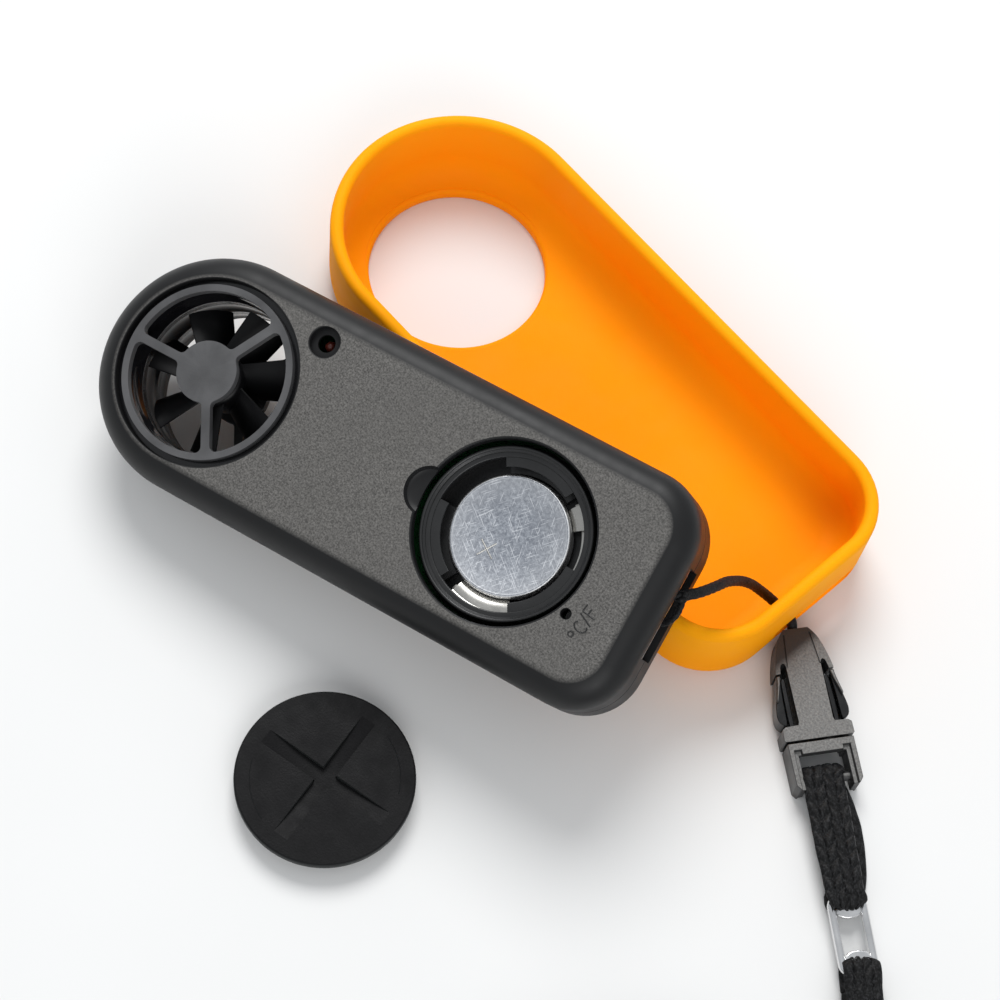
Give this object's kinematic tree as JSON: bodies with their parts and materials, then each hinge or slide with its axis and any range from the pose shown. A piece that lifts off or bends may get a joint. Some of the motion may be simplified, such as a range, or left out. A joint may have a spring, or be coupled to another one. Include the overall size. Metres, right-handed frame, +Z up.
{
  "type": "handheld weather meter",
  "caption": "Pocket weather meter with an impeller, back up beside its silicone sleeve, with battery cover off, coin cell shown and a buckled lanyard.",
  "frame": {"origin": "centre of the silicone sleeve's underside, on the surface that the object lies on", "axes": "+X along the sleeve towards its lanyard end, +Y away from the casing, +Z up"},
  "size_m": [0.219, 0.1626, 0.039],
  "materials": {
    "black_abs": "satin",
    "dark_abs": "satin",
    "duct_black": "gloss",
    "impeller_black": "satin",
    "steel": "brushed",
    "link_steel": "polished",
    "cell_steel": "brushed",
    "contact_metal": "satin",
    "bearing_bronze": "satin",
    "magnet": "matt",
    "board_green": "gloss",
    "chip_black": "matt",
    "lcd_glass": "gloss",
    "diffuser_white": "matt",
    "elastomer_pink": "matt",
    "window_clear": "clear",
    "button_rubber": "matt",
    "plunger_white": "matt",
    "sensor_epoxy": "gloss",
    "seal_rubber": "matt",
    "orange_silicone": "satin",
    "cord_black": "woven",
    "buckle_acetal": "satin",
    "strap_black": "knitted",
    "tie_black": "woven"
  },
  "bodies": {
    "lanyard": {"lanyard_cord": "cord_black", "buckle_socket": "buckle_acetal", "buckle_plug": "buckle_acetal", "short_strap": "strap_black", "strap_link": "link_steel", "neck_strap_cuff": "strap_black", "neck_strap": "strap_black", "neck_strap_coil": "strap_black", "coil_tie": "tie_black"},
    "casing": {"rear_casing": "black_abs", "front_casing": "dark_abs", "fan_duct": "duct_black", "rear_grille": "black_abs", "front_grille": "black_abs", "rear_bearing": "bearing_bronze", "front_bearing": "bearing_bronze", "hall_sensor": "chip_black", "temperature_sensor": "sensor_epoxy", "circuit_board": "board_green", "main_chip": "chip_black", "timing_crystal": "steel", "lcd_panel": "lcd_glass", "backlight_panel": "diffuser_white", "lcd_connector": "elastomer_pink", "lcd_window": "window_clear", "mode_switch": "chip_black", "set_switch": "chip_black", "unit_switch": "chip_black", "battery_holder": "dark_abs", "positive_contact": "contact_metal", "negative_contact": "contact_metal", "circuit_board_screws": "steel", "lanyard_bar": "steel"},
    "impeller": {"impeller": "impeller_black", "impeller_shaft": "steel", "impeller_magnet": "magnet"},
    "mode_button": {"mode_button": "button_rubber"},
    "set_button": {"set_button": "button_rubber"},
    "unit_plunger": {"unit_switch_plunger": "plunger_white"},
    "coin_cell": {"coin_cell": "cell_steel"},
    "cover_seal": {"battery_cover_seal": "seal_rubber"},
    "battery_cover": {"battery_cover": "dark_abs"},
    "sleeve": {"sleeve": "orange_silicone"},
    "left_latch": {"left_latch_arm": "buckle_acetal"},
    "right_latch": {"right_latch_arm": "buckle_acetal"}
  },
  "joints": [
    {"name": "meter_swing", "type": "hinge", "parent": "lanyard", "child": "casing", "pos_m": [0.04439, -0.02581, 0.02629], "axis": [-0.3093, 0.884, 0.3505], "range_deg": [0, 60]},
    {"name": "sleeve_swing", "type": "hinge", "parent": "lanyard", "child": "sleeve", "pos_m": [0.054, -0.0016, 0.0049], "axis": [0, 0, -1], "range_deg": [0, 25]},
    {"name": "impeller_spin", "type": "hinge", "parent": "casing", "child": "impeller", "pos_m": [-0.035, -0.05067, 0.01608], "axis": [-0.0151, -0.3731, 0.9277], "continuous": true},
    {"name": "mode_press", "type": "slide", "parent": "casing", "child": "mode_button", "axis": [-0.0151, -0.3731, 0.9277], "range_m": [0, 0.0003], "stiffness_N_per_m": 400},
    {"name": "set_press", "type": "slide", "parent": "casing", "child": "set_button", "axis": [-0.0151, -0.3731, 0.9277], "range_m": [0, 0.0003], "stiffness_N_per_m": 400},
    {"name": "unit_press", "type": "slide", "parent": "casing", "child": "unit_plunger", "axis": [0.0151, 0.3731, -0.9277], "range_m": [0, 0.00025], "stiffness_N_per_m": 400},
    {"name": "coin_lift", "type": "slide", "parent": "casing", "child": "coin_cell", "axis": [-0.0151, -0.3731, 0.9277], "range_m": [0, 0.015]},
    {"name": "cover_lift", "type": "slide", "parent": "lanyard", "child": "cover_seal", "axis": [0, 0, 1], "range_m": [0, 0.03]},
    {"name": "cover_turn", "type": "hinge", "parent": "cover_seal", "child": "battery_cover", "pos_m": [0.0259, -0.0788, 0.002], "axis": [0, 0, 1], "range_deg": [0, 60]},
    {"name": "left_squeeze", "type": "hinge", "parent": "lanyard", "child": "left_latch", "pos_m": [0.07521, -0.00961, 0.0026], "axis": [0, 0, 1], "range_deg": [0, 6], "stiffness_Nm_per_rad": 0.02},
    {"name": "right_squeeze", "type": "hinge", "parent": "lanyard", "child": "right_latch", "pos_m": [0.0711, -0.01624, 0.0026], "axis": [0, 0, -1], "range_deg": [0, 6], "stiffness_Nm_per_rad": 0.02}
  ]
}
